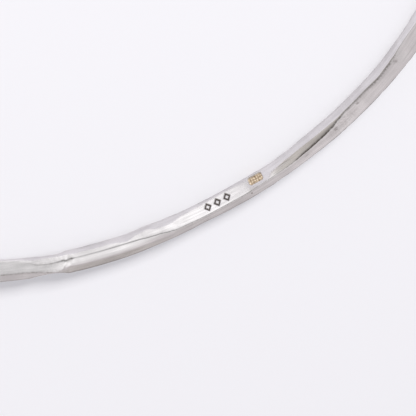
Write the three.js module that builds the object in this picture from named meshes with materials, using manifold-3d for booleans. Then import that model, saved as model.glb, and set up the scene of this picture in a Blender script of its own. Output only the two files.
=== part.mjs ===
// A closed bangle: one ring of square silver bar, forged by hand and dressed all round with long flats.
// It lies on its side: the ring's axis is Z, the floor is z = 0 and the origin is the ring's centre.
// Millimetres, +Z up. Angles round the ring are degrees from -Y, and grow towards +X.
import * as THREE from "three";
import { mergeVertices } from "three/addons/utils/BufferGeometryUtils.js";
import Module from "manifold-3d";

const wasm = await Module();
wasm.setup();

// Driving dimensions
const innerDiameter = 62;
const barSize = 1.4;
const middleHeight = 0.68; // the bar's middle above the floor; what reaches lower is trued flat
const ridgeCrispness = 36; // higher makes the ridges between faces crisper
const sectionPoints = 24; // points round each section
const middleRadius = innerDiameter / 2 + barSize / 2;
const millimetresPerDegree = (middleRadius * Math.PI) / 180;

// Where sections lie round the ring, closest where the faces change most.
const stationZones = [
  { from: -60, to: -24, count: 16 },
  { from: -24, to: 66, count: 84 },
  { from: 66, to: 300, count: 92 },
];

// The bar as it goes round. Each face is [the way it faces round the section, its distance from the
// bar's middle]: 0 faces inwards, 90 up, 180 outwards. A face that a row leaves out is off the bar
// there. The last row is the first one again, a full turn later.
const sections = [
  { at: -60, inside: [8, 0.72], top: [96, 0.72], outside: [186, 0.72], under: [-82, 0.72] },
  { at: -34, inside: [4, 0.84], bevel: [28, 0.62], top: [92, 0.7], outside: [182, 0.7],
    under: [-88, 0.7] },
  { at: -18.4, foot: [-29, 1.04], bevel: [28, 0.52], top: [82, 0.66], outside: [180, 0.49],
    under: [-90, 0.68] },
  { at: -16, foot: [-28, 0.96], inside: [22, 0.63], bevel: [30, 0.54], top: [82, 0.66],
    outside: [180, 0.48], under: [-90, 0.68] },
  { at: -14.6, foot: [-19, 0.88], inside: [22, 0.62], bevel: [33, 0.54], top: [83, 0.68],
    outside: [179, 0.49], under: [-90, 0.68] },
  { at: -13.2, foot: [-17, 0.82], inside: [22, 0.56], bevel: [38, 0.53], top: [87, 0.7],
    outside: [178, 0.58], under: [-90, 0.68] },
  { at: -11.6, foot: [-30, 0.82], inside: [22, 0.56], bevel: [43, 0.55], top: [90, 0.78],
    outside: [176, 0.66], under: [-90, 0.68] },
  { at: -10.2, foot: [-36, 0.8], inside: [22, 0.62], bevel: [46, 0.59], top: [91, 0.9],
    outside: [177, 0.72], under: [-90, 0.68] },
  { at: -9.4, foot: [-33, 0.8], inside: [22, 0.67], bevel: [47, 0.62], top: [82, 0.8],
    outside: [178, 0.74], under: [-90, 0.68] },
  { at: -8.8, foot: [-30, 0.83], inside: [22, 0.72], bevel: [48, 0.66], tongue: [64, 0.67],
    top: [86, 0.75], outside: [180, 0.72], under: [-90, 0.68] },
  { at: -7.9, foot: [-20, 0.91], inside: [22, 0.78], tongue: [50, 0.71], top: [91, 0.71],
    outside: [180, 0.78], under: [-90, 0.68] },
  { at: -6.8, foot: [-21, 0.9], inside: [22, 0.82], tongue: [59, 0.71], top: [94, 0.72],
    outside: [180, 0.79], under: [-90, 0.68] },
  { at: -5.4, foot: [-22, 0.9], inside: [22, 0.82], tongue: [61, 0.73], top: [94, 0.73],
    outside: [180, 0.8], under: [-90, 0.68] },
  { at: -0.8, foot: [-18, 0.88], inside: [23, 0.81], tongue: [62, 0.73], top: [95, 0.73],
    outside: [180, 0.81], under: [-90, 0.68] },
  { at: 1.9, foot: [-11, 0.76], inside: [22, 0.81], tongue: [63, 0.73], top: [94, 0.73],
    outside: [180, 0.78], under: [-90, 0.68] },
  { at: 3.6, foot: [-18, 0.9], inside: [21, 0.8], tongue: [63, 0.73], top: [94, 0.73],
    outside: [180, 0.74], under: [-90, 0.68] },
  { at: 5.7, foot: [-14, 0.96], inside: [21, 0.75], tongue: [66, 0.74], top: [92, 0.74],
    outside: [180, 0.6], under: [-90, 0.68] },
  { at: 7, foot: [-2, 0.81], inside: [21, 0.73], tongue: [67, 0.75], top: [91, 0.74],
    outside: [180, 0.55], under: [-90, 0.68] },
  { at: 9.3, foot: [4, 0.69], inside: [22, 0.63], tongue: [70, 0.77], top: [88, 0.75],
    outside: [180, 0.46], under: [-90, 0.68] },
  { at: 11.8, foot: [3, 0.66], inside: [22, 0.5], top: [86, 0.65], outside: [180, 0.5],
    under: [-90, 0.68] },
  { at: 14.4, foot: [6, 0.63], inside: [21, 0.47], top: [86, 0.64], outside: [180, 0.42],
    under: [-90, 0.68] },
  { at: 19.8, foot: [-5, 0.75], inside: [20, 0.46], top: [86, 0.63], outside: [180, 0.54],
    under: [-90, 0.68] },
  { at: 22.4, foot: [0, 0.65], inside: [19, 0.44], top: [85, 0.65], outside: [180, 0.56],
    under: [-90, 0.68] },
  { at: 25.2, foot: [-16, 0.74], inside: [14, 0.46], top: [84, 0.67], outside: [180, 0.53],
    under: [-90, 0.68] },
  { at: 26.4, foot: [-28, 0.76], inside: [13, 0.47], bevel: [18, 0.49], top: [83, 0.68],
    outside: [180, 0.52], under: [-90, 0.68] },
  { at: 28, foot: [-31, 0.74], inside: [10, 0.5], bevel: [22, 0.5], top: [82, 0.67],
    outside: [180, 0.49], under: [-90, 0.68] },
  { at: 30.8, foot: [-25, 0.75], inside: [7, 0.56], bevel: [25, 0.52], top: [78, 0.68],
    outside: [180, 0.45], under: [-90, 0.68] },
  { at: 33.8, foot: [-8, 0.72], inside: [5, 0.62], bevel: [28, 0.56], top: [73, 0.62],
    outside: [180, 0.46], under: [-90, 0.68] },
  { at: 37.2, foot: [-10, 0.8], inside: [4, 0.65], bevel: [29, 0.6], top: [68, 0.61],
    outside: [180, 0.43], under: [-90, 0.68] },
  { at: 39.6, foot: [-15, 0.8], inside: [3, 0.67], bevel: [29, 0.64], top: [67, 0.6],
    outside: [180, 0.46], under: [-90, 0.68] },
  { at: 41.4, foot: [-24, 0.83], inside: [2, 0.7], bevel: [29, 0.69], top: [67, 0.54],
    outside: [180, 0.51], under: [-90, 0.68] },
  { at: 43.3, foot: [-22, 0.85], inside: [1, 0.73], bevel: [28, 0.71], top: [66, 0.49],
    outside: [180, 0.54], under: [-90, 0.68] },
  { at: 47.2, foot: [-21, 0.85], inside: [1, 0.73], bevel: [28, 0.71], top: [65, 0.49],
    outside: [180, 0.53], under: [-90, 0.68] },
  { at: 51, foot: [-17, 0.79], inside: [6, 0.67], bevel: [28, 0.67], top: [64, 0.53],
    outside: [180, 0.5], under: [-90, 0.68] },
  { at: 53.6, foot: [-19, 0.83], inside: [0, 0.72], bevel: [27, 0.71], top: [63, 0.55],
    outside: [180, 0.49], under: [-90, 0.68] },
  { at: 55, foot: [-18, 0.86], inside: [0, 0.75], bevel: [26, 0.73], top: [62, 0.55],
    outside: [180, 0.49], under: [-90, 0.68] },
  { at: 57.5, foot: [-18, 0.89], inside: [0, 0.79], bevel: [24, 0.77], top: [61, 0.5],
    outside: [180, 0.52], under: [-90, 0.68] },
  { at: 59.2, foot: [-20, 0.9], inside: [0, 0.8], bevel: [24, 0.78], top: [60, 0.49],
    outside: [180, 0.54], under: [-90, 0.68] },
  { at: 72, inside: [-4, 0.72], top: [78, 0.66], outside: [174, 0.68], under: [-92, 0.68] },
  { at: 90, inside: [4, 0.72], top: [94, 0.72], outside: [184, 0.72], under: [-86, 0.72] },
  { at: 125, inside: [16, 0.74], top: [106, 0.7], outside: [196, 0.74], under: [-74, 0.7] },
  { at: 160, inside: [-6, 0.7], top: [84, 0.73], outside: [174, 0.7], under: [-96, 0.73] },
  { at: 195, inside: [-16, 0.73], top: [74, 0.7], outside: [164, 0.73], under: [-106, 0.7] },
  { at: 230, inside: [5, 0.7], top: [95, 0.74], outside: [185, 0.7], under: [-85, 0.74] },
  { at: 265, inside: [18, 0.74], top: [108, 0.71], outside: [198, 0.74], under: [-72, 0.71] },
  { at: 300, inside: [8, 0.72], top: [96, 0.72], outside: [186, 0.72], under: [-82, 0.72] },
];
const absentFaces = {
  foot: [-10, 1.3],
  inside: [12, 1.3],
  bevel: [30, 1.3],
  tongue: [58, 1.3],
  top: [90, 1.3],
  outside: [180, 1.3],
  under: [-90, 1.3],
};

// Smaller flats dressed by hand near the marks. `at` is the middle of a flat round the ring, `face` the
// way it faces round the section, `depth` its distance from the bar's middle, and runIn and runOut the
// radii along which the tool enters and leaves it.
const handFlats = [
  { at: -2.5, face: 51, depth: 0.742, runIn: 200, runOut: 200 },
  { at: -11, face: 138, depth: 0.68, runIn: 12, runOut: 4 },
];

// The rest of the ring has flats of the same kind, one after another, each turned by the golden
// angle from the last so that no two neighbours face alike.
const otherFlats = {
  count: 27,
  from: 74,
  to: 326,
  goldenAngle: 137.5077,
  shallowest: 0.74,
  deepest: 0.66,
  shortestRun: 25,
  longestRun: 80,
};

// Marks on the inside face: three engraved lozenges, then a punched stamp with a sunk floor.
const lozenges = {
  count: 3,
  from: 16,
  step: 1.7,
  long: 0.72,
  wide: 0.8,
  stroke: 0.14,
  depth: 0.05,
  across: -0.15,
};
const stamp = { at: 24.75, long: 1.4, wide: 0.76, corner: 0.24, depth: 0.1, across: -0.22, turn: -5 };

const radians = THREE.MathUtils.degToRad;
const golden = (i, irrational) => (i * irrational) % 1;

function makeOtherFlats() {
  const flats = [];
  const step = (otherFlats.to - otherFlats.from) / (otherFlats.count - 1);
  const run = otherFlats.longestRun - otherFlats.shortestRun;
  for (let i = 0; i < otherFlats.count; i++) {
    flats.push({
      at: otherFlats.from + step * i,
      face: (otherFlats.goldenAngle * i) % 360,
      depth: THREE.MathUtils.lerp(otherFlats.deepest, otherFlats.shallowest, golden(i, Math.SQRT2)),
      runIn: otherFlats.shortestRun + run * golden(i, Math.sqrt(3)),
      runOut: otherFlats.shortestRun + run * golden(i, Math.sqrt(5)),
    });
  }
  return flats;
}

const flats = [...handFlats, ...makeOtherFlats()];

// The bar's faces at a place round the ring, eased from one row to the next.
function facesAt(degrees) {
  const first = sections[0].at;
  const place = first + THREE.MathUtils.euclideanModulo(degrees - first, 360);
  const next = sections.findIndex((row) => row.at > place);
  const from = sections[next - 1];
  const to = sections[next];
  const ease = THREE.MathUtils.smoothstep(place, from.at, to.at);
  const faces = {};
  for (const [name, absent] of Object.entries(absentFaces)) {
    const before = from[name] ?? absent;
    const after = to[name] ?? absent;
    faces[name] = before.map((value, i) => THREE.MathUtils.lerp(value, after[i], ease));
  }
  return faces;
}

// Everything that bounds the section at a place round the ring: its faces, then the smaller flats.
function boundsAt(degrees) {
  const bounds = Object.values(facesAt(degrees));
  for (const flat of flats) {
    const turn = THREE.MathUtils.euclideanModulo(degrees - flat.at + 180, 360) - 180;
    const along = turn * millimetresPerDegree;
    const run = along < 0 ? flat.runIn : flat.runOut;
    bounds.push([flat.face, flat.depth + along ** 2 / (2 * run)]);
  }
  return bounds;
}

// How far the surface lies from the bar's middle, at an angle round a section: the nearest of all
// that bounds it, with the ridges between them eased.
function surfaceRadius(bounds, angle) {
  let sum = 0;
  for (const [face, distance] of bounds) {
    sum += Math.max(0, Math.cos(radians(angle - face)) / distance) ** ridgeCrispness;
  }
  return sum ** (-1 / ridgeCrispness);
}

// The angles of a section's points, from straight down and round. They are spaced evenly, half by
// the length of the outline and half by its turning, so that they gather at the ridges.
function sectionAngles(bounds) {
  const samples = 240;
  const angles = Array.from({ length: samples + 3 }, (_, i) => -90 + (360 * i) / samples);
  const spots = angles.map((angle) => {
    const radius = surfaceRadius(bounds, angle);
    return new THREE.Vector2(radius * Math.cos(radians(angle)), radius * Math.sin(radians(angle)));
  });
  const outline = spots.slice(0, samples).reduce((sum, spot, i) => sum + spot.distanceTo(spots[i + 1]), 0);
  const passed = [0];
  for (let i = 0; i < samples; i++) {
    const step = spots[i + 1].clone().sub(spots[i]);
    const nextStep = spots[i + 2].clone().sub(spots[i + 1]);
    const turning = Math.abs(Math.atan2(step.cross(nextStep), step.dot(nextStep)));
    passed.push(passed[i] + step.length() / outline + turning / (2 * Math.PI));
  }
  const chosen = [];
  for (let j = 0; j < sectionPoints; j++) {
    const wanted = (passed[samples] * j) / sectionPoints;
    const after = Math.max(1, passed.findIndex((value) => value >= wanted));
    const share = (wanted - passed[after - 1]) / (passed[after] - passed[after - 1]);
    chosen.push(THREE.MathUtils.lerp(angles[after - 1], angles[after], share));
  }
  return chosen;
}

// A point of the part from a place round the ring and a place in its section there.
function ringPoint(degrees, inwards, up) {
  const radius = middleRadius - inwards;
  const turn = radians(degrees);
  return new THREE.Vector3(radius * Math.sin(turn), -radius * Math.cos(turn), middleHeight + up);
}

function surfacePoint(degrees, bounds, angle) {
  const radius = surfaceRadius(bounds, angle);
  const section = radians(angle);
  const point = ringPoint(degrees, radius * Math.cos(section), radius * Math.sin(section));
  point.z = Math.max(point.z, 0);
  return point;
}

function stationPlaces() {
  const places = [];
  for (const zone of stationZones) {
    for (let i = 0; i < zone.count; i++) {
      places.push(THREE.MathUtils.lerp(zone.from, zone.to, i / zone.count));
    }
  }
  return places;
}

function hoopGeometry() {
  const points = [];
  const index = [];
  const places = stationPlaces();
  places.forEach((degrees, i) => {
    const bounds = boundsAt(degrees);
    const here = i * sectionPoints;
    const next = ((i + 1) % places.length) * sectionPoints;
    sectionAngles(bounds).forEach((angle, j) => {
      points.push(surfacePoint(degrees, bounds, angle));
      const side = (j + 1) % sectionPoints;
      index.push(here + j, here + side, next + j, next + j, here + side, next + side);
    });
  });
  return new THREE.BufferGeometry().setFromPoints(points).setIndex(index);
}

// Stands a cutter, drawn in its own x (along the bar) and y (across it), on the inside face;
// `across` grows upwards.
function onInsideFace(geometry, degrees, across, depth) {
  const [face] = facesAt(degrees).inside;
  const turn = radians(degrees);
  const along = new THREE.Vector3(Math.cos(turn), Math.sin(turn), 0);
  const inward = new THREE.Vector3(-Math.sin(turn), Math.cos(turn), 0);
  const up = new THREE.Vector3(0, 0, 1);
  const out = inward.multiplyScalar(Math.cos(radians(face))).addScaledVector(up, Math.sin(radians(face)));
  const side = new THREE.Vector3().crossVectors(out, along);
  const height = surfaceRadius(boundsAt(degrees), face) - depth;
  const place = ringPoint(degrees, 0, 0).addScaledVector(out, height).addScaledVector(side, -across);
  return geometry.applyMatrix4(new THREE.Matrix4().makeBasis(along, side, out).setPosition(place));
}

function lozengeOutline(long, wide) {
  const halfLong = long / 2;
  const halfWide = wide / 2;
  return [
    new THREE.Vector2(halfLong, 0),
    new THREE.Vector2(0, halfWide),
    new THREE.Vector2(-halfLong, 0),
    new THREE.Vector2(0, -halfWide),
  ];
}

const cutterHeight = 0.5;

function lozengeCutter() {
  const shape = new THREE.Shape(lozengeOutline(lozenges.long, lozenges.wide));
  const inset = 2 * Math.SQRT2 * lozenges.stroke;
  const inner = lozengeOutline(lozenges.long - inset, lozenges.wide - inset);
  shape.holes.push(new THREE.Path(inner));
  return new THREE.ExtrudeGeometry(shape, { depth: cutterHeight, bevelEnabled: false });
}

function stampCutter() {
  const straight = stamp.long / 2 - stamp.corner;
  const flat = stamp.wide / 2 - stamp.corner;
  const shape = new THREE.Shape();
  shape.absarc(straight, flat, stamp.corner, 0, Math.PI / 2);
  shape.absarc(-straight, flat, stamp.corner, Math.PI / 2, Math.PI);
  shape.absarc(-straight, -flat, stamp.corner, Math.PI, 1.5 * Math.PI);
  shape.absarc(straight, -flat, stamp.corner, 1.5 * Math.PI, 2 * Math.PI);
  return new THREE.ExtrudeGeometry(shape, { depth: cutterHeight, bevelEnabled: false, curveSegments: 4 });
}

function solid(geometry) {
  const bare = geometry.clone();
  bare.deleteAttribute("normal");
  bare.deleteAttribute("uv");
  const merged = mergeVertices(bare, 1e-5);
  return new wasm.Manifold(
    new wasm.Mesh({
      numProp: 3,
      vertProperties: merged.attributes.position.array,
      triVerts: new Uint32Array(merged.index.array),
    }),
  );
}

function geometryOf(made) {
  const mesh = made.getMesh();
  const geometry = new THREE.BufferGeometry();
  geometry.setAttribute("position", new THREE.BufferAttribute(mesh.vertProperties, 3));
  geometry.setIndex(new THREE.BufferAttribute(mesh.triVerts, 1));
  geometry.computeVertexNormals();
  return geometry;
}

function makeHoop() {
  let hoop = solid(hoopGeometry());
  for (let i = 0; i < lozenges.count; i++) {
    const place = lozenges.from + lozenges.step * i;
    hoop = hoop.subtract(solid(onInsideFace(lozengeCutter(), place, lozenges.across, lozenges.depth)));
  }
  const turnedStamp = stampCutter().rotateZ(radians(stamp.turn));
  hoop = hoop.subtract(solid(onInsideFace(turnedStamp, stamp.at, stamp.across, stamp.depth)));
  const silver = new THREE.MeshStandardMaterial({ color: 0xd9d7d8, roughness: 0.22, metalness: 1 });
  const mesh = new THREE.Mesh(geometryOf(hoop), silver);
  mesh.name = "hoop";
  return mesh;
}

const bangle = new THREE.Group();
bangle.add(makeHoop());

export default bangle;
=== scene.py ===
import math
import bpy
from mathutils import Matrix, Vector


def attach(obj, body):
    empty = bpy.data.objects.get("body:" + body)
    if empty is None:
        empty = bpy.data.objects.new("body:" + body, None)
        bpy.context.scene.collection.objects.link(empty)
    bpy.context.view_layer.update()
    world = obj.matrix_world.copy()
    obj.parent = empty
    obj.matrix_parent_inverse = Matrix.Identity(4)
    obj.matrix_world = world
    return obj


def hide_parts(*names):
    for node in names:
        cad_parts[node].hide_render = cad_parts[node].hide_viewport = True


# A hand-forged silver bangle lying on its side. Lengths are millimetres until a mesh is written in
# metres; angles round the ring are degrees from -Y, and angles round the bar's section run from
# facing inwards (0) through facing up (90).
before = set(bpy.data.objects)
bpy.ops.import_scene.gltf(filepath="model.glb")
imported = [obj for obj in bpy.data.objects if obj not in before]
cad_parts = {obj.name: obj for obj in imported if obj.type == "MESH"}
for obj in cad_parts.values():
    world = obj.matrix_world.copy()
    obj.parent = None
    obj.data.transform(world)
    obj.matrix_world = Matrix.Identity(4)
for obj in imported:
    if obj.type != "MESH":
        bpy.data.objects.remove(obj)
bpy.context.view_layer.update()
metresPerMillimetre = 0.001
print("frame loaded:", sorted(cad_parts))

hoop = {
    "innerDiameter": 62.0,
    "barSize": 1.4,
    "middleHeight": 0.68,       # the bar's middle above the floor
    "ridgeCrispness": 36.0,
    "pointsRound": 120,         # points round each section
    "crowdAt": 45.0,            # they lie closest together facing this way
    "crowding": 0.3,            # 0 spaces them evenly
    "waviness": 0.012,          # how far the hammered faces wander from true
    "wavesPerMillimetre": 0.45,
    "creaseDepth": 0.02,        # of a line whose darkness is 1
    "lineFade": 4.0,            # how fast a line fades where a third face comes near
    "dentFadeFrom": 0.3,        # a dent fades between these, in half sizes from its middle
    "dentFadeTo": 1.1,
    "facingLimit": 0.3,         # a mark stays on metal that faces its way: the least cosine
    "mergeWithin": 0.0001,      # the sheet's edges meet within this
}
middleRadius = hoop["innerDiameter"] / 2 + hoop["barSize"] / 2
millimetresPerDegree = middleRadius * math.pi / 180

# How many stations the mesh has along each stretch of the ring, in degrees: closest at the marks.
stationZones = [
    {"from": -60, "to": -24, "count": 40},
    {"from": -24, "to": 14, "count": 190},
    {"from": 14, "to": 27.5, "count": 186},
    {"from": 27.5, "to": 66, "count": 170},
    {"from": 66, "to": 300, "count": 234},
]

# Sections of the bar round the ring. Each face is the angle it faces, round the section, and its
# distance from the bar's middle. A face that a row leaves out is off the bar there. The hammer has
# folded the metal between some faces, and shade is painted dark along these lines: fold, seam and edge
# say how dark the painted shade of each line is, and seamWide how many times its usual width the seam is.
sections = [
    {"at": -60, "inside": (8, 0.72), "top": (96, 0.72), "outside": (186, 0.72), "under": (-82, 0.72)},
    {"at": -34, "inside": (4, 0.84), "bevel": (28, 0.62), "top": (92, 0.70), "outside": (182, 0.70),
     "under": (-88, 0.70), "seam": 0.3},
    {"at": -18.4, "foot": (-29, 1.04), "bevel": (28, 0.52), "top": (82, 0.66), "outside": (180, 0.49),
     "under": (-90, 0.68), "seam": 0.5, "edge": 0.5},
    {"at": -16, "foot": (-28, 0.96), "inside": (22, 0.63), "bevel": (30, 0.54), "top": (82, 0.66),
     "outside": (180, 0.48), "under": (-90, 0.68), "seam": 0.5, "edge": 0.5},
    {"at": -14.6, "foot": (-19, 0.88), "inside": (22, 0.62), "bevel": (33, 0.54), "top": (83, 0.68),
     "outside": (179, 0.49), "under": (-90, 0.68), "seam": 0.5, "edge": 0.5},
    {"at": -13.2, "foot": (-17, 0.82), "inside": (22, 0.56), "bevel": (38, 0.53), "top": (87, 0.70),
     "outside": (178, 0.58), "under": (-90, 0.68), "fold": 0.2, "seam": 0.5, "edge": 0.2},
    {"at": -11.6, "foot": (-30, 0.82), "inside": (22, 0.56), "bevel": (43, 0.55), "top": (90, 0.78),
     "outside": (176, 0.66), "under": (-90, 0.68), "fold": 0.3, "seam": 0.5},
    {"at": -10.2, "foot": (-36, 0.80), "inside": (22, 0.62), "bevel": (46, 0.59), "top": (91, 0.90),
     "outside": (177, 0.72), "under": (-90, 0.68), "fold": 0.25, "seam": 0.5},
    {"at": -9.4, "foot": (-33, 0.80), "inside": (22, 0.67), "bevel": (47, 0.62), "top": (82, 0.80),
     "outside": (178, 0.74), "under": (-90, 0.68), "fold": 0.3, "seam": 0.1},
    {"at": -8.8, "foot": (-30, 0.83), "inside": (22, 0.72), "bevel": (48, 0.66), "tongue": (64, 0.67),
     "top": (86, 0.75), "outside": (180, 0.72), "under": (-90, 0.68), "fold": 0.35},
    {"at": -7.9, "foot": (-20, 0.91), "inside": (22, 0.78), "tongue": (50, 0.71), "top": (91, 0.71),
     "outside": (180, 0.78), "under": (-90, 0.68), "fold": 0.7, "edge": 0.5},
    {"at": -6.8, "foot": (-21, 0.90), "inside": (22, 0.82), "tongue": (59, 0.71), "top": (94, 0.72),
     "outside": (180, 0.79), "under": (-90, 0.68), "fold": 0.3, "edge": 0.7},
    {"at": -5.4, "foot": (-22, 0.90), "inside": (22, 0.82), "tongue": (61, 0.73), "top": (94, 0.73),
     "outside": (180, 0.80), "under": (-90, 0.68), "fold": 0.2, "edge": 0.8},
    {"at": -0.8, "foot": (-18, 0.88), "inside": (23, 0.81), "tongue": (62, 0.73), "top": (95, 0.73),
     "outside": (180, 0.81), "under": (-90, 0.68), "fold": 0.2, "edge": 0.9},
    {"at": 1.9, "foot": (-11, 0.76), "inside": (22, 0.81), "tongue": (63, 0.73), "top": (94, 0.73),
     "outside": (180, 0.78), "under": (-90, 0.68), "fold": 0.25, "edge": 0.6},
    {"at": 3.6, "foot": (-18, 0.90), "inside": (21, 0.80), "tongue": (63, 0.73), "top": (94, 0.73),
     "outside": (180, 0.74), "under": (-90, 0.68), "fold": 0.35, "edge": 0.4},
    {"at": 5.7, "foot": (-14, 0.96), "inside": (21, 0.75), "tongue": (66, 0.74), "top": (92, 0.74),
     "outside": (180, 0.60), "under": (-90, 0.68), "fold": 0.55, "edge": 0.4},
    {"at": 7, "foot": (-2, 0.81), "inside": (21, 0.73), "tongue": (67, 0.75), "top": (91, 0.74),
     "outside": (180, 0.55), "under": (-90, 0.68), "fold": 0.5, "edge": 0.4},
    {"at": 9.3, "foot": (4, 0.69), "inside": (22, 0.63), "tongue": (70, 0.77), "top": (88, 0.75),
     "outside": (180, 0.46), "under": (-90, 0.68), "fold": 0.4, "seam": 0.4, "edge": 0.4},
    {"at": 11.8, "foot": (3, 0.66), "inside": (22, 0.50), "top": (86, 0.65), "outside": (180, 0.50),
     "under": (-90, 0.68), "seam": 0.4, "edge": 0.4},
    {"at": 14.4, "foot": (6, 0.63), "inside": (21, 0.47), "top": (86, 0.64), "outside": (180, 0.42),
     "under": (-90, 0.68), "seam": 0.4, "edge": 0.4},
    {"at": 19.8, "foot": (-5, 0.75), "inside": (20, 0.46), "top": (86, 0.63), "outside": (180, 0.54),
     "under": (-90, 0.68), "seam": 0.4, "edge": 0.4},
    {"at": 22.4, "foot": (0, 0.65), "inside": (19, 0.44), "top": (85, 0.65), "outside": (180, 0.56),
     "under": (-90, 0.68), "seam": 0.5, "edge": 0.5},
    {"at": 25.2, "foot": (-16, 0.74), "inside": (14, 0.46), "top": (84, 0.67), "outside": (180, 0.53),
     "under": (-90, 0.68), "seam": 0.3, "edge": 0.5},
    {"at": 26.4, "foot": (-28, 0.76), "inside": (13, 0.47), "bevel": (18, 0.49), "top": (83, 0.68),
     "outside": (180, 0.52), "under": (-90, 0.68), "seam": 0.3, "edge": 0.3},
    {"at": 28, "foot": (-31, 0.74), "inside": (10, 0.50), "bevel": (22, 0.50), "top": (82, 0.67),
     "outside": (180, 0.49), "under": (-90, 0.68), "seam": 0.2, "seamWide": 0.5, "edge": 0.2},
    {"at": 30.8, "foot": (-25, 0.75), "inside": (7, 0.56), "bevel": (25, 0.52), "top": (78, 0.68),
     "outside": (180, 0.45), "under": (-90, 0.68), "seam": 0.5, "seamWide": 0.5, "edge": 0.2},
    {"at": 33.8, "foot": (-8, 0.72), "inside": (5, 0.62), "bevel": (28, 0.56), "top": (73, 0.62),
     "outside": (180, 0.46), "under": (-90, 0.68), "seam": 2.4, "seamWide": 0.45, "edge": 0.2},
    {"at": 37.2, "foot": (-10, 0.80), "inside": (4, 0.65), "bevel": (29, 0.60), "top": (68, 0.61),
     "outside": (180, 0.43), "under": (-90, 0.68), "seam": 2.0, "seamWide": 0.45, "edge": 0.2},
    {"at": 39.6, "foot": (-15, 0.80), "inside": (3, 0.67), "bevel": (29, 0.64), "top": (67, 0.60),
     "outside": (180, 0.46), "under": (-90, 0.68), "seam": 1.2, "seamWide": 0.5, "edge": 0.2},
    {"at": 41.4, "foot": (-24, 0.83), "inside": (2, 0.70), "bevel": (29, 0.69), "top": (67, 0.54),
     "outside": (180, 0.51), "under": (-90, 0.68), "seam": 0.9, "seamWide": 0.6, "edge": 0.3},
    {"at": 43.3, "foot": (-22, 0.85), "inside": (1, 0.73), "bevel": (28, 0.71), "top": (66, 0.49),
     "outside": (180, 0.54), "under": (-90, 0.68), "seam": 0.6, "seamWide": 1.0, "edge": 0.3},
    {"at": 47.2, "foot": (-21, 0.85), "inside": (1, 0.73), "bevel": (28, 0.71), "top": (65, 0.49),
     "outside": (180, 0.53), "under": (-90, 0.68), "seam": 0.6, "seamWide": 1.2, "edge": 0.3},
    {"at": 51, "foot": (-17, 0.79), "inside": (6, 0.67), "bevel": (28, 0.67), "top": (64, 0.53),
     "outside": (180, 0.50), "under": (-90, 0.68), "seam": 0.9, "seamWide": 1.0, "edge": 0.3},
    {"at": 53.6, "foot": (-19, 0.83), "inside": (0, 0.72), "bevel": (27, 0.71), "top": (63, 0.55),
     "outside": (180, 0.49), "under": (-90, 0.68), "seam": 0.7, "seamWide": 1.0, "edge": 0.3},
    {"at": 55, "foot": (-18, 0.86), "inside": (0, 0.75), "bevel": (26, 0.73), "top": (62, 0.55),
     "outside": (180, 0.49), "under": (-90, 0.68), "seam": 0.4, "seamWide": 1.5, "edge": 0.2},
    {"at": 57.5, "foot": (-18, 0.89), "inside": (0, 0.79), "bevel": (24, 0.77), "top": (61, 0.50),
     "outside": (180, 0.52), "under": (-90, 0.68), "seam": 0.15, "seamWide": 1.5},
    {"at": 59.2, "foot": (-20, 0.90), "inside": (0, 0.80), "bevel": (24, 0.78), "top": (60, 0.49),
     "outside": (180, 0.54), "under": (-90, 0.68)},
    {"at": 72, "inside": (-4, 0.72), "top": (78, 0.66), "outside": (174, 0.68), "under": (-92, 0.68)},
    {"at": 90, "inside": (4, 0.72), "top": (94, 0.72), "outside": (184, 0.72), "under": (-86, 0.72)},
    {"at": 125, "inside": (16, 0.74), "top": (106, 0.70), "outside": (196, 0.74), "under": (-74, 0.70)},
    {"at": 160, "inside": (-6, 0.70), "top": (84, 0.73), "outside": (174, 0.70), "under": (-96, 0.73)},
    {"at": 195, "inside": (-16, 0.73), "top": (74, 0.70), "outside": (164, 0.73), "under": (-106, 0.70)},
    {"at": 230, "inside": (5, 0.70), "top": (95, 0.74), "outside": (185, 0.70), "under": (-85, 0.74)},
    {"at": 265, "inside": (18, 0.74), "top": (108, 0.71), "outside": (198, 0.74), "under": (-72, 0.71)},
    {"at": 300, "inside": (8, 0.72), "top": (96, 0.72), "outside": (186, 0.72), "under": (-82, 0.72)},
]
# where a face waits, clear of the metal, on the rows that leave it out
absentFaces = {"foot": (-10, 1.3), "inside": (12, 1.3), "bevel": (30, 1.3), "tongue": (58, 1.3),
               "top": (90, 1.3), "outside": (180, 1.3), "under": (-90, 1.3)}
plainLines = {"fold": 0.0, "seam": 0.0, "seamWide": 1.0, "edge": 0.0}
# Lines of painted shade lie where one face meets the next: the column with their strength, their
# width, and the two faces.
lines = [
    {"strength": "fold", "wide": 4.0, "faces": ("inside", "bevel")},
    {"strength": "fold", "wide": 4.0, "faces": ("inside", "tongue")},
    {"strength": "seam", "wide": 4.0, "faces": ("bevel", "top")},
    {"strength": "seam", "wide": 4.0, "faces": ("inside", "top")},
    {"strength": "edge", "wide": 5.0, "faces": ("top", "outside")},
]

# Smaller flats dressed by hand near the marks: the middle of each round the ring, the way it faces,
# its distance from the bar's middle, and the radii the tool enters and leaves it along.
handFlats = [
    {"at": -2.5, "face": 51, "depth": 0.742, "runIn": 200, "runOut": 200},
    {"at": -11.0, "face": 138, "depth": 0.68, "runIn": 12, "runOut": 4},
]
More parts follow.
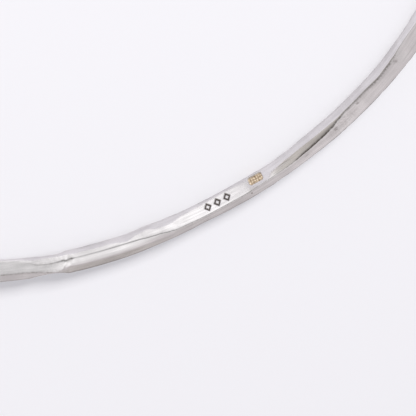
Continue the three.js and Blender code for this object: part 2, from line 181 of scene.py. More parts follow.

# Dents, with shade painted in them: the middle of each, the way the metal faces there, its size in
# millimetres along and across the bar, and how dark its painted shade is.
dents = [
    {"at": 2.3, "face": 109, "long": 2.40, "wide": 0.70, "dark": 0.10},
    {"at": 14.4, "face": 95, "long": 4.00, "wide": 1.00, "dark": 0.08},
    {"at": 23.1, "face": 91, "long": 0.20, "wide": 0.20, "dark": 1.0},
    {"at": 29.9, "face": 23, "long": 1.60, "wide": 0.14, "dark": 0.35},
    {"at": 33.5, "face": 93, "long": 0.70, "wide": 0.20, "dark": 0.35},
    {"at": 33.2, "face": 78, "long": 3.00, "wide": 1.00, "dark": 0.10},
    {"at": 36.5, "face": 82, "long": 3.00, "wide": 0.60, "dark": 0.12},
    {"at": 39.9, "face": 76, "long": 0.70, "wide": 0.50, "dark": 0.45},
    {"at": 41.2, "face": 76, "long": 5.00, "wide": 1.30, "dark": 0.22},
    {"at": 42.3, "face": 84, "long": 0.80, "wide": 0.34, "dark": 0.25},
    {"at": 45.4, "face": -12, "long": 5.00, "wide": 1.60, "dark": 0.10},
    {"at": 45.3, "face": 39, "long": 0.50, "wide": 0.36, "dark": 0.35},
    {"at": 54.9, "face": 42, "long": 0.70, "wide": 0.55, "dark": 0.30},
]

# The rest of the ring has flats of the same kind, each turned by the golden angle from the last.
otherFlats = {
    "count": 27, "from": 74, "to": 326, "goldenAngle": 137.5077,
    "shallowest": 0.74, "deepest": 0.66, "shortestRun": 25, "longestRun": 80,
}

# The marks on the inside face. From, step and at are degrees round the ring, turn is degrees, and
# across is from the face's middle line. Each cut's wall slopes from floor to rim.
lozenges = {
    "count": 3, "from": 16.0, "step": 1.7, "long": 0.72, "wide": 0.80, "stroke": 0.14, "depth": 0.05,
    "across": -0.15,
    "mitre": 1.4,           # a stroke drawn on the slant is this much wider along the bar
    "floorAt": 0.65, "rimAt": 1.15,     # in half strokes from the stroke's middle
}
stamp = {
    "at": 24.75, "long": 1.40, "wide": 0.76, "corner": 0.24, "depth": 0.10, "across": -0.22, "turn": -5.0,
    "floorInside": 0.06, "rimOutside": 0.02,
    "pelletStep": 0.24, "pelletRadius": 0.08, "pelletRise": 0.05,
    "pelletTopInside": 0.05, "pelletFootOutside": 0.03,
}


def toLinear(hexColour):
    channels = [int(hexColour[i:i + 2], 16) / 255 for i in (1, 3, 5)]
    return [c / 12.92 if c <= 0.04045 else ((c + 0.055) / 1.055) ** 2.4 for c in channels] + [1.0]


def addNode(tree, kind, *terms, named=None, out=0, **settings):
    # one node: terms go to its sockets in order, named ones by name or number; gives back its output
    # socket. A Mix node has its numbers on sockets 2 and 3 and its colours on 6 and 7, and a vector
    # Map Range has its five vectors on 6 to 10.
    node = tree.nodes.new(kind)
    for key, value in settings.items():
        setattr(node, key, value)
    for key, value in [*enumerate(terms), *(named or {}).items()]:
        if isinstance(value, bpy.types.NodeSocket):
            tree.links.new(value, node.inputs[key])
        elif value is not None:
            node.inputs[key].default_value = value
    return node if out is None else node.outputs[out]


def newGroup(name, inputs, outputs):
    # a Geometry Nodes tree with named sockets: {name: socket type}; gives the tree, the sockets that
    # bring its inputs and the sockets that take its outputs
    tree = bpy.data.node_groups.new(name, "GeometryNodeTree")
    for direction, sockets in (("INPUT", inputs), ("OUTPUT", outputs)):
        for socketName, socketType in sockets.items():
            tree.interface.new_socket(socketName, in_out=direction, socket_type="NodeSocket" + socketType)
    given = tree.nodes.new("NodeGroupInput").outputs
    result = tree.nodes.new("NodeGroupOutput").inputs
    return tree, given, result


maths = "ShaderNodeMath"
vectorMaths = "ShaderNodeVectorMath"


def sineAndCosine(add, degrees):
    radians = add(maths, degrees, operation="RADIANS")
    sine = add(maths, radians, operation="SINE")
    cosine = add(maths, radians, operation="COSINE")
    return sine, cosine


def makeFlatGroup():
    # one flat's say in how near the surface comes: (cos(angle - face) / distance) ^ crispness
    sockets = ["Place", "Angle", "At", "Face", "Depth", "Run in", "Run out", "Crispness"]
    tree, given, result = newGroup("dressed flat", dict.fromkeys(sockets, "Float"), {"Share": "Float"})

    def add(kind, *terms, **rest):
        return addNode(tree, kind, *terms, **rest)

    # the tool's round path lifts off the bar by along squared over twice its radius
    away = add(maths, given["Place"], given["At"], operation="SUBTRACT")
    turn = add(maths, away, 180.0, -180.0, operation="WRAP")
    along = add(maths, turn, millimetresPerDegree, operation="MULTIPLY")
    before = add(maths, along, 0.0, operation="LESS_THAN")
    run = add("ShaderNodeMix", before, named={2: given["Run out"], 3: given["Run in"]})
    squared = add(maths, along, along, operation="MULTIPLY")
    lift = add(maths, squared, run, operation="DIVIDE")
    distance = add(maths, lift, 0.5, given["Depth"], operation="MULTIPLY_ADD")
    aside = add(maths, given["Angle"], given["Face"], operation="SUBTRACT")
    facing = sineAndCosine(add, aside)[1]
    facingOnly = add(maths, facing, 0.0, operation="MAXIMUM")
    near = add(maths, facingOnly, distance, operation="DIVIDE")
    share = add(maths, near, given["Crispness"], operation="POWER")
    tree.links.new(share, result["Share"])
    return tree


def allFlats():
    # multiples of a square root, less their whole part, spread evenly and never repeat
    span = otherFlats["to"] - otherFlats["from"]
    depthSpan = otherFlats["shallowest"] - otherFlats["deepest"]
    runSpan = otherFlats["longestRun"] - otherFlats["shortestRun"]
    rows = list(handFlats)
    for i in range(otherFlats["count"]):
        rows.append({
            "at": otherFlats["from"] + span * i / (otherFlats["count"] - 1),
            "face": otherFlats["goldenAngle"] * i % 360,
            "depth": otherFlats["deepest"] + depthSpan * (i * math.sqrt(2) % 1),
            "runIn": otherFlats["shortestRun"] + runSpan * (i * math.sqrt(3) % 1),
            "runOut": otherFlats["shortestRun"] + runSpan * (i * math.sqrt(5) % 1),
        })
    return rows


def layStations(add, pointsRound):
    # a sheet of points, one row for each station and the first again, that is wrapped into the ring;
    # with it, each point's place round the ring in degrees and its share of the way round the section
    stationCount = sum(zone["count"] for zone in stationZones)
    perRow = add(maths, pointsRound, 1.0, operation="ADD")
    sheet = add("GeometryNodeMeshGrid", 1.0, 1.0, stationCount + 1, perRow)
    index = add("GeometryNodeInputIndex")
    rowPart = add(maths, index, perRow, operation="DIVIDE")
    row = add(maths, rowPart, operation="FLOOR")
    station = add(maths, row, float(stationCount), operation="MODULO")
    place = float(stationZones[0]["from"])
    firstStation = 0
    for zone in stationZones:
        lastStation = firstStation + zone["count"]
        step = add("ShaderNodeMapRange", station, float(firstStation), float(lastStation), 0.0,
                   float(zone["to"] - zone["from"]))
        place = add(maths, step, place, operation="ADD")
        firstStation = lastStation
    column = add(maths, index, perRow, operation="MODULO")
    columnOnce = add(maths, column, pointsRound, operation="MODULO")
    share = add(maths, columnOnce, pointsRound, operation="DIVIDE")
    return sheet, place, share


def turnRound(add, share):
    # the angle round the section, with the points closest on the face that carries the marks
    even = add(maths, share, 360.0, operation="MULTIPLY")
    fromCrowd = add(maths, even, hoop["crowdAt"], operation="SUBTRACT")
    crowdSine = sineAndCosine(add, fromCrowd)[0]
    return add(maths, crowdSine, -math.degrees(hoop["crowding"]), even, operation="MULTIPLY_ADD")


def easeSections(add, place):
    # every face's angle and distance and every line's strength, eased from one section to the next,
    # three numbers at a time
    faceNames = list(absentFaces)
    rows = [[n for name in faceNames for n in section.get(name, absentFaces[name])]
            + [section.get(name, usual) for name, usual in plainLines.items()] for section in sections]
    eased = []
    for first in range(0, len(rows[0]), 3):
        now = tuple(rows[0][first:first + 3])
        for before, after, low, high in zip(sections, sections[1:], rows, rows[1:]):
            change = tuple(high[i] - low[i] for i in range(first, first + 3))
            step = add("ShaderNodeMapRange", data_type="FLOAT_VECTOR", interpolation_type="SMOOTHSTEP",
                       out=1, named={6: place, 7: (before["at"],) * 3, 8: (after["at"],) * 3,
                                     9: (0.0, 0.0, 0.0), 10: change})
            now = add(vectorMaths, step, now, operation="ADD")
        eased.extend(add("ShaderNodeSeparateXYZ", now, out=None).outputs)
    faces = {name: (eased[2 * i], eased[2 * i + 1]) for i, name in enumerate(faceNames)}
    lineValues = dict(zip(plainLines, eased[2 * len(faceNames):]))
    return faces, lineValues


def wearFlats(add, crispness, place, angle, faces):
    # every flat's say, and all of them together; a face of the sections is wherever the point is
    rows = [{"name": name, "at": place, "face": face, "depth": depth, "runIn": 1.0, "runOut": 1.0}
            for name, (face, depth) in faces.items()]
    flatGroup = makeFlatGroup()
    total = 0.0
    shares = {}
    for row in rows + allFlats():
        say = add("GeometryNodeGroup", node_tree=flatGroup,
                  named={"Place": place, "Angle": angle, "At": row["at"], "Face": row["face"],
                         "Depth": row["depth"], "Run in": row["runIn"], "Run out": row["runOut"],
                         "Crispness": crispness})
        if "name" in row:
            shares[row["name"]] = say
        total = add(maths, say, total, operation="ADD")
    return shares, total


def foldLineShade(add, shares, total, lineValues):
    # a line of painted shade lies where two faces have the same say and no other face has any
    creaseShade = 0.0
    for line in lines:
        one, other = (shares[name] for name in line["faces"])
        less = add(maths, one, other, operation="MINIMUM")
        more = add(maths, one, other, operation="MAXIMUM")
        evenness = add(maths, less, more, operation="DIVIDE")
        both = add(maths, one, other, operation="ADD")
        alone = add(maths, both, total, operation="DIVIDE")
        wide = line["wide"]
        if line["strength"] == "seam":
            wide = add(maths, lineValues["seamWide"], wide, operation="MULTIPLY")
        narrow = add(maths, 1.0, wide, operation="DIVIDE")
        shape = add(maths, evenness, narrow, operation="POWER")
        where = add(maths, alone, hoop["lineFade"], operation="POWER")
        there = add(maths, shape, where, operation="MULTIPLY")
        dark = add(maths, there, lineValues[line["strength"]], operation="MULTIPLY")
        creaseShade = add(maths, dark, creaseShade, operation="MAXIMUM")
    return creaseShade


def addDents(add, place, angle, radius, creaseShade):
    # each dent is an oval on the metal, with shade painted dark in its middle
    for dent in dents:
        away = add(maths, place, dent["at"], operation="SUBTRACT")
        alongShare = add(maths, away, 2 * millimetresPerDegree / dent["long"], operation="MULTIPLY")
        off = add(maths, angle, dent["face"], operation="SUBTRACT")
        offSine, offCosine = sineAndCosine(add, off)
        offAcross = add(maths, offSine, radius, operation="MULTIPLY")
        acrossShare = add(maths, offAcross, 2 / dent["wide"], operation="MULTIPLY")
        reach = add("ShaderNodeCombineXYZ", alongShare, acrossShare)
        reachLength = add(vectorMaths, reach, operation="LENGTH", out=1)
        fall = add("ShaderNodeMapRange", reachLength, hoop["dentFadeTo"], hoop["dentFadeFrom"], 0.0,
                   dent["dark"], interpolation_type="SMOOTHSTEP")
        facing = add(maths, offCosine, hoop["facingLimit"], operation="GREATER_THAN")
        stain = add(maths, fall, facing, operation="MULTIPLY")
        creaseShade = add(maths, stain, creaseShade, operation="MAXIMUM")
    return creaseShade


def engraveLozenges(add, place, across):
    # a lozenge is where the shares of its half length and half width add up to one
    engraved = 0.0
    halfStroke = lozenges["mitre"] * lozenges["stroke"] / lozenges["long"]
    for i in range(lozenges["count"]):
        middle = lozenges["from"] + lozenges["step"] * i
        away = add(maths, place, middle, operation="SUBTRACT")
        shiftAlong = add(maths, away, millimetresPerDegree * 2 / lozenges["long"], operation="MULTIPLY")
        shiftAcross = add(maths, across, lozenges["across"], operation="SUBTRACT")
        scaledAcross = add(maths, shiftAcross, 2 / lozenges["wide"], operation="MULTIPLY")
        spanAlong = add(maths, shiftAlong, operation="ABSOLUTE")
        spanAcross = add(maths, scaledAcross, operation="ABSOLUTE")
        reach = add(maths, spanAlong, spanAcross, operation="ADD")
        offLine = add(maths, reach, 1 - halfStroke, operation="SUBTRACT")
        gap = add(maths, offLine, operation="ABSOLUTE")
        line = add("ShaderNodeMapRange", gap, lozenges["rimAt"] * halfStroke,
                   lozenges["floorAt"] * halfStroke, 0.0, 1.0)
        engraved = add(maths, line, engraved, operation="MAXIMUM")
    return engraved


def sinkStamp(add, place, across):
    # a rectangle with round corners, turned a little about its own middle
    away = add(maths, place, stamp["at"], operation="SUBTRACT")
    stampAlong = add(maths, away, millimetresPerDegree, operation="MULTIPLY")
    stampAcross = add(maths, across, stamp["across"], operation="SUBTRACT")
    stampLevel = add("ShaderNodeCombineXYZ", stampAlong, stampAcross, 0.0)
    stampSpot = add("ShaderNodeVectorRotate", stampLevel, rotation_type="Z_AXIS",
                    named={"Angle": math.radians(stamp["turn"])})
    stampSpan = add(vectorMaths, stampSpot, operation="ABSOLUTE")
    core = (stamp["long"] / 2 - stamp["corner"], stamp["wide"] / 2 - stamp["corner"], 0.0)
    past = add(vectorMaths, stampSpan, core, operation="SUBTRACT")
    pastOnly = add(vectorMaths, past, (0.0, 0.0, 0.0), operation="MAXIMUM")
    pastLength = add(vectorMaths, pastOnly, operation="LENGTH", out=1)
    inStamp = add("ShaderNodeMapRange", pastLength, stamp["corner"] + stamp["rimOutside"],
                  stamp["corner"] - stamp["floorInside"], 0.0, 1.0)

    # raised pellets on its floor, one in each cell of a small lattice
    halfCell = stamp["pelletStep"] / 2
    inCell = add(vectorMaths, stampSpot, (stamp["pelletStep"],) * 3, (0.0, 0.0, 0.0), operation="WRAP")
    fromPellet = add(vectorMaths, inCell, (halfCell, halfCell, 0.0), operation="SUBTRACT")
    flatPellet = add(vectorMaths, fromPellet, (1.0, 1.0, 0.0), operation="MULTIPLY")
    pelletAway = add(vectorMaths, flatPellet, operation="LENGTH", out=1)
    pellet = add("ShaderNodeMapRange", pelletAway, stamp["pelletRadius"] + stamp["pelletFootOutside"],
                 stamp["pelletRadius"] - stamp["pelletTopInside"], 0.0, stamp["pelletRise"])
    return inStamp, pellet


def makeHoopTree():
    tree, given, result = newGroup(
        "forged hoop",
        {"Geometry": "Geometry", "Middle radius": "Float", "Middle height": "Float",
         "Points round": "Int", "Crispness": "Float", "Waviness": "Float",
         "Waves per mm": "Float", "Silver": "Material"},
        {"Geometry": "Geometry"},
    )

    def add(kind, *terms, **rest):
        return addNode(tree, kind, *terms, **rest)

    sheet, place, share = layStations(add, given["Points round"])
    angle = turnRound(add, share)
    faces, lineValues = easeSections(add, place)
    shares, total = wearFlats(add, given["Crispness"], place, angle, faces)
    power = add(maths, -1.0, given["Crispness"], operation="DIVIDE")
    radiusWhole = add(maths, total, power, operation="POWER")
    creaseShade = foldLineShade(add, shares, total, lineValues)
    creaseShade = addDents(add, place, angle, radiusWhole, creaseShade)
    # the painted shade also sinks the metal a little along the lines and in the dents
    radius = add(maths, creaseShade, -hoop["creaseDepth"], radiusWhole, operation="MULTIPLY_ADD")

    # a slow wander of the hammered faces, read from where the point lies so that it has no seam
    placeSine, placeCosine = sineAndCosine(add, place)
    angleSine, angleCosine = sineAndCosine(add, angle)
    aroundX = add(maths, placeSine, given["Middle radius"], operation="MULTIPLY")
    aroundY = add(maths, placeCosine, given["Middle radius"], operation="MULTIPLY")
    inwards = add(maths, radius, angleCosine, operation="MULTIPLY")
    upwards = add(maths, radius, angleSine, operation="MULTIPLY")
    ringSpot = add("ShaderNodeCombineXYZ", aroundX, aroundY, inwards)
    wander = add("ShaderNodeTexNoise", noise_dimensions="4D", normalize=True,
                 named={"Vector": ringSpot, "W": upwards, "Scale": given["Waves per mm"], "Detail": 1.0})
    centred = add(maths, wander, 0.5, operation="SUBTRACT")
    radiusWavy = add(maths, centred, given["Waviness"], radius, operation="MULTIPLY_ADD")
    inwardsWavy = add(maths, radiusWavy, angleCosine, operation="MULTIPLY")
    upwardsWavy = add(maths, radiusWavy, angleSine, operation="MULTIPLY")

    # the marks lie across the inside face and are cut straight into it
    insideAngle = faces["inside"][0]
    aside = add(maths, angle, insideAngle, operation="SUBTRACT")
    asideSine, asideCosine = sineAndCosine(add, aside)
    across = add(maths, radius, asideSine, operation="MULTIPLY")
    onInside = add(maths, asideCosine, hoop["facingLimit"], operation="GREATER_THAN")
    engraved = add(maths, engraveLozenges(add, place, across), onInside, operation="MULTIPLY")
    inStamp, pellet = sinkStamp(add, place, across)
    sunk = add(maths, inStamp, onInside, operation="MULTIPLY")
    lozengeCut = add(maths, engraved, -lozenges["depth"], operation="MULTIPLY")
    floorDepth = add(maths, pellet, stamp["depth"], operation="SUBTRACT")
    stampCut = add(maths, sunk, floorDepth, operation="MULTIPLY")
    cut = add(maths, lozengeCut, stampCut, operation="ADD")
    faceSine, faceCosine = sineAndCosine(add, insideAngle)
    sectionIn = add(maths, cut, faceCosine, inwardsWavy, operation="MULTIPLY_ADD")
    sectionUp = add(maths, cut, faceSine, upwardsWavy, operation="MULTIPLY_ADD")

    # each section stands at its place round the ring; metal below the floor is trued to it
    fromAxis = add(maths, given["Middle radius"], sectionIn, operation="SUBTRACT")
    x = add(maths, placeSine, fromAxis, operation="MULTIPLY")
    yBack = add(maths, placeCosine, fromAxis, operation="MULTIPLY")
    y = add(maths, yBack, -1.0, operation="MULTIPLY")
    height = add(maths, sectionUp, given["Middle height"], operation="ADD")
    z = add(maths, height, 0.0, operation="MAXIMUM")
    position = add("ShaderNodeCombineXYZ", x, y, z)
    inMetres = add(vectorMaths, position, operation="SCALE", named={"Scale": metresPerMillimetre})

    # the silver reads these
    mesh = sheet
    stored = {
        "engraved": ("FLOAT", engraved),
        "sunk": ("FLOAT", sunk),
        "pellet": ("FLOAT", pellet),
        "creaseShade": ("FLOAT", creaseShade),
        "ringSpot": ("FLOAT_VECTOR", ringSpot),
        "sectionUp": ("FLOAT", upwards),
    }
    for name, (kind, value) in stored.items():
        mesh = add("GeometryNodeStoreNamedAttribute", mesh, data_type=kind, domain="POINT",
                   named={"Name": name, "Value": value})
    mesh = add("GeometryNodeSetPosition", mesh, named={"Position": inMetres})
    mesh = add("GeometryNodeMergeByDistance", mesh,
               named={"Distance": hoop["mergeWithin"] * metresPerMillimetre})
    mesh = add("GeometryNodeSetShadeSmooth", mesh)
    mesh = add("GeometryNodeRealizeInstances", mesh)
    mesh = add("GeometryNodeSetMaterial", mesh, named={"Material": given["Silver"]})
    tree.links.new(mesh, result["Geometry"])
    return tree


# Sterling silver, forged, filed in flats and polished by hand. To the eye it is a soft mirror with
# fine scratches along the bar. The engraved lines are oxidised dark and the stamp's floor is left raw
# and tan. Shade is painted dark along the folds, seams and edges, in the dents and on the stamp's wall.
# Noise runs from 0 to 1 about 0.5, and most of it lies between 0.3 and 0.7.
silverLook = {
    "bright": "#E8E5E6",
    "dull": "#D5D2D3",              # where the polish is thinner
    "mottling": (0.8, 1.2),         # cloud and file marks together: all bright, all dull
    # painted shade along the folds, seams and edges and in the dents
    "creaseShade": "#5C544E",
    "engraved": "#443C37",
    "scratches": {"along": 0.5, "across": 14.0},    # to the millimetre
    "fileMarks": {"along": 0.3, "across": 5.0},
    "grain": 6.0,                   # to the millimetre, of the metal under the polish
    "cloud": 0.5,
    "raggedNoise": (0.35, 0.65),    # the grain that makes a line faintest and darkest
    "raggedLine": (0.55, 1.4),      # times its own darkness
    "polishNoise": (0.3, 0.7),
    "polish": (0.13, 0.24),         # roughness, by the scratches
    "rawRoughness": 0.6,
    "rawMetallic": 0.35,
    "pelletLow": "#7A6248",
    "pelletHigh": "#F2E2C8",
    "pelletTone": (0.25, 0.75),     # foot and top of a pellet, from low to high
    "pelletGrain": 1.6,
    "wallShade": "#5A483A",
    # painted shade on the stamp's wall
    "wallStrength": 3.2,
    "bumpStrength": 0.25,
    "bumpDepth": 0.00001,           # metres
    "scratchDepth": 0.35,           # as a share of the grain's in the stamp
}


def makeSilver():
    material = bpy.data.materials.new("forged sterling silver")
    material.use_nodes = True
    tree = material.node_tree
    tree.nodes.clear()

    def add(kind, *terms, **rest):
        return addNode(tree, kind, *terms, **rest)

    ringSpot = add("ShaderNodeAttribute", attribute_name="ringSpot", out=1)
    sectionUp = add("ShaderNodeAttribute", attribute_name="sectionUp", out=2)
    engraved = add("ShaderNodeAttribute", attribute_name="engraved", out=2)
    sunk = add("ShaderNodeAttribute", attribute_name="sunk", out=2)
    pellet = add("ShaderNodeAttribute", attribute_name="pellet", out=2)
    creaseShade = add("ShaderNodeAttribute", attribute_name="creaseShade", out=2)

    def tone(name):
        return toLinear(silverLook[name])

    # the polisher's scratches and the file's broader marks: slow along the bar, fast across it
    long, fine = silverLook["scratches"]["along"], silverLook["scratches"]["across"]
    scratchSpot = add(vectorMaths, ringSpot, (long, long, fine), operation="MULTIPLY")
    scratchUp = add(maths, sectionUp, fine, operation="MULTIPLY")
    scratches = add("ShaderNodeTexNoise", noise_dimensions="4D",
                    named={"Vector": scratchSpot, "W": scratchUp, "Scale": 1.0, "Detail": 3.0})
    long, fine = silverLook["fileMarks"]["along"], silverLook["fileMarks"]["across"]
    fileSpot = add(vectorMaths, ringSpot, (long, long, fine), operation="MULTIPLY")
    fileUp = add(maths, sectionUp, fine, operation="MULTIPLY")
    fileMarks = add("ShaderNodeTexNoise", noise_dimensions="4D",
                    named={"Vector": fileSpot, "W": fileUp, "Scale": 1.0, "Detail": 2.0})
    grain = add("ShaderNodeTexNoise", noise_dimensions="4D",
                named={"Vector": ringSpot, "W": sectionUp, "Scale": silverLook["grain"], "Detail": 3.0})
    cloud = add("ShaderNodeTexNoise", noise_dimensions="4D",
                named={"Vector": ringSpot, "W": sectionUp, "Scale": silverLook["cloud"], "Detail": 2.0})

    mottle = add(maths, cloud, fileMarks, operation="ADD")
    mottling = add("ShaderNodeMapRange", mottle, *silverLook["mottling"], 0.0, 1.0)
    metal = add("ShaderNodeMix", data_type="RGBA", out=2,
                named={0: mottling, 6: tone("bright"), 7: tone("dull")})

    pelletTone = add("ShaderNodeMapRange", pellet, 0.0, stamp["pelletRise"], *silverLook["pelletTone"])
    spread = add(maths, grain, 0.5, operation="SUBTRACT")
    speckled = add(maths, spread, silverLook["pelletGrain"], pelletTone, operation="MULTIPLY_ADD",
                   use_clamp=True)
    pelletFloor = add("ShaderNodeMix", data_type="RGBA", out=2,
                      named={0: speckled, 6: tone("pelletLow"), 7: tone("pelletHigh")})
    # painted shade: the stamp's wall, half way down the cut, is painted darker than its floor
    notSunk = add(maths, 1.0, sunk, operation="SUBTRACT")
    onWall = add(maths, sunk, notSunk, operation="MULTIPLY")
    wallShade = add(maths, onWall, silverLook["wallStrength"], operation="MULTIPLY")
    rawFloor = add("ShaderNodeMix", data_type="RGBA", out=2,
                   named={0: wallShade, 6: pelletFloor, 7: tone("wallShade")})
    withStamp = add("ShaderNodeMix", data_type="RGBA", out=2, named={0: sunk, 6: metal, 7: rawFloor})
    withMarks = add("ShaderNodeMix", data_type="RGBA", out=2,
                    named={0: engraved, 6: withStamp, 7: tone("engraved")})
    # the lines and dents take their painted shade, ragged by the grain
    ragged = add("ShaderNodeMapRange", grain, *silverLook["raggedNoise"], *silverLook["raggedLine"])
    darkness = add(maths, creaseShade, ragged, operation="MULTIPLY")
    withLines = add("ShaderNodeMix", data_type="RGBA", out=2,
                    named={0: darkness, 6: withMarks, 7: tone("creaseShade")})

    polish = add("ShaderNodeMapRange", scratches, *silverLook["polishNoise"], *silverLook["polish"])
    marked = add(maths, engraved, sunk, operation="MAXIMUM")
    roughness = add("ShaderNodeMix", named={0: marked, 2: polish, 3: silverLook["rawRoughness"]})
    shine = add("ShaderNodeMapRange", marked, 0.0, 1.0, 1.0, silverLook["rawMetallic"])

    height = add(maths, scratches, silverLook["scratchDepth"], operation="MULTIPLY")
    relief = add(maths, grain, sunk, height, operation="MULTIPLY_ADD")
    bump = add("ShaderNodeBump", named={"Strength": silverLook["bumpStrength"],
                                        "Distance": silverLook["bumpDepth"], "Height": relief})
    shader = add("ShaderNodeBsdfPrincipled",
                 named={"Base Color": withLines, "Metallic": shine, "Roughness": roughness,
                        "Normal": bump})
    add("ShaderNodeOutputMaterial", shader, out=None)
    return material


def makeHoop(silver):
    mesh = bpy.data.meshes.new("hoopSeed")
    seed = bpy.data.objects.new("hoopSeed", mesh)
    bpy.context.scene.collection.objects.link(seed)
    modifier = seed.modifiers.new("forged hoop", "NODES")
    tree = makeHoopTree()
    modifier.node_group = tree
    chosen = {
        "Middle radius": middleRadius,
        "Middle height": hoop["middleHeight"],
        "Points round": hoop["pointsRound"],
        "Crispness": hoop["ridgeCrispness"],
        "Waviness": hoop["waviness"],
        "Waves per mm": hoop["wavesPerMillimetre"],
        "Silver": silver,
    }
    for item in tree.interface.items_tree:
        if item.in_out == "INPUT" and item.name in chosen:
            modifier[item.identifier] = chosen[item.name]
    graph = bpy.context.evaluated_depsgraph_get()
    made = bpy.data.meshes.new_from_object(seed.evaluated_get(graph), depsgraph=graph)
    made.name = "forgedHoop"
    bpy.data.objects.remove(seed)
    piece = bpy.data.objects.new("forgedHoop", made)
    bpy.context.scene.collection.objects.link(piece)
    return piece


silver = makeSilver()
ring = makeHoop(silver)
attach(ring, "root")
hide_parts("hoop")
print("hoop made:", len(ring.data.polygons), "faces")

# The camera looks from +Y over the ring's middle, which lies up in the frame, so it is turned over.
shot = {
    "aimAt": 15.8,              # degrees round the ring
    "azimuth": 17.49,           # from +Y towards -X
    "elevation": 36.23,
    "distance": 350.0,
    "frameWidth": 35.83,
    "aimAbove": 0.2265,         # the frame's middle is this far above the bar, in the frame
    "sensor": 36.0,
    "seesFrom": 0.01,           # metres
    "seesTo": 20.0,
}


def makeCamera():
    azimuth, elevation = math.radians(shot["azimuth"]), math.radians(shot["elevation"])
    back = Vector((-math.sin(azimuth) * math.cos(elevation), math.cos(azimuth) * math.cos(elevation),
                   math.sin(elevation)))
    up = Vector((0, 1, 0)) - back * back.y
    up.normalize()
    right = up.cross(back)
    turn = math.radians(shot["aimAt"])
    aim = Vector((math.sin(turn) * middleRadius, -math.cos(turn) * middleRadius, hoop["middleHeight"]))
    aim += up * shot["aimAbove"]
    camera = bpy.data.cameras.new("camera")
    camera.sensor_width = shot["sensor"]
    camera.lens = shot["sensor"] * shot["distance"] / shot["frameWidth"]
    camera.clip_start = shot["seesFrom"]
    camera.clip_end = shot["seesTo"]
    body = bpy.data.objects.new("camera", camera)
    turnTo = Matrix((right, up, back)).transposed().to_4x4()
    body.matrix_world = Matrix.Translation((aim + back * shot["distance"]) * metresPerMillimetre) @ turnTo
    bpy.context.scene.collection.objects.link(body)
    bpy.context.scene.camera = body
    return back


towardsCamera = makeCamera()
print("camera placed")

# Lengths here are metres.
studio = {
    "floorSize": 6.0,
    "floor": "#EEEDEF",
    "floorRoughness": 0.9,
    "floorSpecular": 0.1,
    "keyPower": 7.9,
    "keyAzimuth": -14.0,       # from +Y towards -X
    "keyElevation": 26.0,
    "keyDistance": 0.9,
    "keySize": 0.2,
    "evenColour": "#FAF9FE",
    "evenStrength": 0.70,
}

# How bright the tent round the bangle is, by the angle up from the floor on the camera's side (0),
# through overhead (90), to the floor on the far side (180): to the right of the camera, straight
# behind it and to its left.
tentBands = [
    {"angle": 0, "right": 1.08, "middle": 1.38, "left": 0.76},
    {"angle": 9, "right": 1.01, "middle": 1.34, "left": 0.58},
    {"angle": 18, "right": 1.18, "middle": 0.76, "left": 0.78},
    {"angle": 28, "right": 0.61, "middle": 0.38, "left": 0.44},
    {"angle": 40, "right": 0.93, "middle": 0.42, "left": 0.32},
    {"angle": 56, "right": 0.81, "middle": 0.98, "left": 0.48},
    {"angle": 70, "right": 0.80, "middle": 1.34, "left": 0.66},
    {"angle": 84, "right": 0.72, "middle": 1.06, "left": 0.74},
    {"angle": 100, "right": 0.64, "middle": 0.88, "left": 0.77},
    {"angle": 120, "right": 0.64, "middle": 0.76, "left": 0.72},
    {"angle": 138, "right": 0.66, "middle": 0.68, "left": 0.66},
    {"angle": 150, "right": 0.66, "middle": 0.67, "left": 0.55},
    {"angle": 162, "right": 0.40, "middle": 0.38, "left": 0.42},
    {"angle": 180, "right": 0.36, "middle": 0.34, "left": 0.36},
]
tentBrightest = 1.45        # no row is brighter than this
tentSides = {"rightFrom": 0.38, "rightTo": 0.66, "leftFrom": -0.20, "leftTo": -0.36}  # 1 is full right
# the tint of the cloth: low on the left (below lowTo), past overhead, and down the far side
tentTints = {"plain": "#FFFFFF", "left": "#FFFAF3", "high": "#FFFAFB", "far": "#FFF9F5"}
tentTintAngles = {"lowTo": 60, "highFrom": 92, "farFrom": 145}


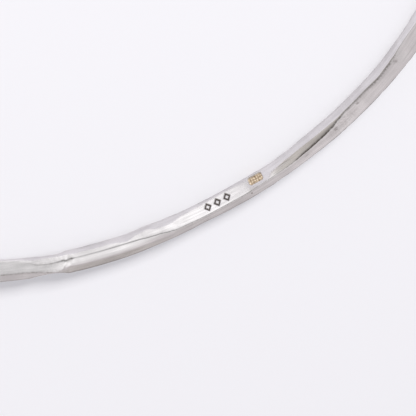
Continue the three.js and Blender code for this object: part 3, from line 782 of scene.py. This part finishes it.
def makeWorld():
    world = bpy.data.worlds.new("white tent")
    bpy.context.scene.world = world
    world.use_nodes = True
    tree = world.node_tree
    tree.nodes.clear()

    def add(kind, *terms, **rest):
        return addNode(tree, kind, *terms, **rest)

    front = Vector((towardsCamera.x, towardsCamera.y, 0)).normalized()
    side = Vector((front.y, -front.x, 0))
    ray = add("ShaderNodeTexCoord", out=0)
    forward = add(vectorMaths, ray, tuple(front), operation="DOT_PRODUCT", out=1)
    aside = add(vectorMaths, ray, tuple(side), operation="DOT_PRODUCT", out=1)
    height = add("ShaderNodeSeparateXYZ", ray, out=2)
    angle = add(maths, height, forward, operation="ARCTAN2")
    share = add("ShaderNodeMapRange", angle, 0.0, math.pi, 0.0, 1.0)

    def band(column):
        ramp = add("ShaderNodeValToRGB", share, out=None)
        stops = ramp.color_ramp.elements
        for i, row in enumerate(tentBands):
            # a new ramp has two stops
            stop = stops[i] if i < 2 else stops.new(row["angle"] / 180)
            stop.position = row["angle"] / 180
            tint = "left" if column == "left" and row["angle"] < tentTintAngles["lowTo"] else "plain"
            if row["angle"] > tentTintAngles["highFrom"]:
                tint = "far" if row["angle"] > tentTintAngles["farFrom"] else "high"
            tone = row[column] / tentBrightest
            stop.color = [tone * c for c in toLinear(tentTints[tint])[:3]] + [1.0]
        return ramp.outputs[0]

    toRight = add("ShaderNodeMapRange", aside, tentSides["rightFrom"], tentSides["rightTo"], 0.0, 1.0,
                  interpolation_type="SMOOTHSTEP")
    toLeft = add("ShaderNodeMapRange", aside, tentSides["leftFrom"], tentSides["leftTo"], 0.0, 1.0,
                 interpolation_type="SMOOTHSTEP")
    tentRight = add("ShaderNodeMix", data_type="RGBA", out=2,
                    named={0: toRight, 6: band("middle"), 7: band("right")})
    tent = add("ShaderNodeMix", data_type="RGBA", out=2, named={0: toLeft, 6: tentRight, 7: band("left")})
    # the bangle mirrors the tent; the floor and the view past its edge take an even pale light
    path = add("ShaderNodeLightPath", out=None).outputs
    straight = add(maths, path["Is Camera Ray"], path["Is Diffuse Ray"], operation="MAXIMUM")
    tentLight = add("ShaderNodeBackground", tent, tentBrightest)
    evenLight = add("ShaderNodeBackground", toLinear(studio["evenColour"]), studio["evenStrength"])
    light = add("ShaderNodeMixShader", straight, tentLight, evenLight)
    add("ShaderNodeOutputWorld", light, out=None)


def makeFloor():
    half = studio["floorSize"] / 2
    corners = [(-half, -half, 0), (half, -half, 0), (half, half, 0), (-half, half, 0)]
    mesh = bpy.data.meshes.new("floor")
    mesh.from_pydata(corners, [], [(0, 1, 2, 3)])
    floor = bpy.data.objects.new("floor", mesh)
    paper = bpy.data.materials.new("matt white board")
    paper.use_nodes = True
    shader = paper.node_tree.nodes["Principled BSDF"]
    shader.inputs["Base Color"].default_value = toLinear(studio["floor"])
    shader.inputs["Roughness"].default_value = studio["floorRoughness"]
    shader.inputs["Specular IOR Level"].default_value = studio["floorSpecular"]
    mesh.materials.append(paper)
    bpy.context.scene.collection.objects.link(floor)


def makeKey():
    azimuth, elevation = math.radians(studio["keyAzimuth"]), math.radians(studio["keyElevation"])
    away = Vector((-math.sin(azimuth) * math.cos(elevation), math.cos(azimuth) * math.cos(elevation),
                   math.sin(elevation)))
    light = bpy.data.lights.new("key", "AREA")
    light.energy = studio["keyPower"]
    light.size = studio["keySize"]
    lamp = bpy.data.objects.new("key", light)
    lamp.visible_glossy = False     # it throws the shadow, and the metal mirrors the tent alone
    lamp.location = away * studio["keyDistance"]
    lamp.rotation_euler = away.to_track_quat("Z", "Y").to_euler()
    bpy.context.scene.collection.objects.link(lamp)


makeWorld()
makeFloor()
makeKey()
bpy.context.scene.view_settings.view_transform = "Standard"
print("studio set")
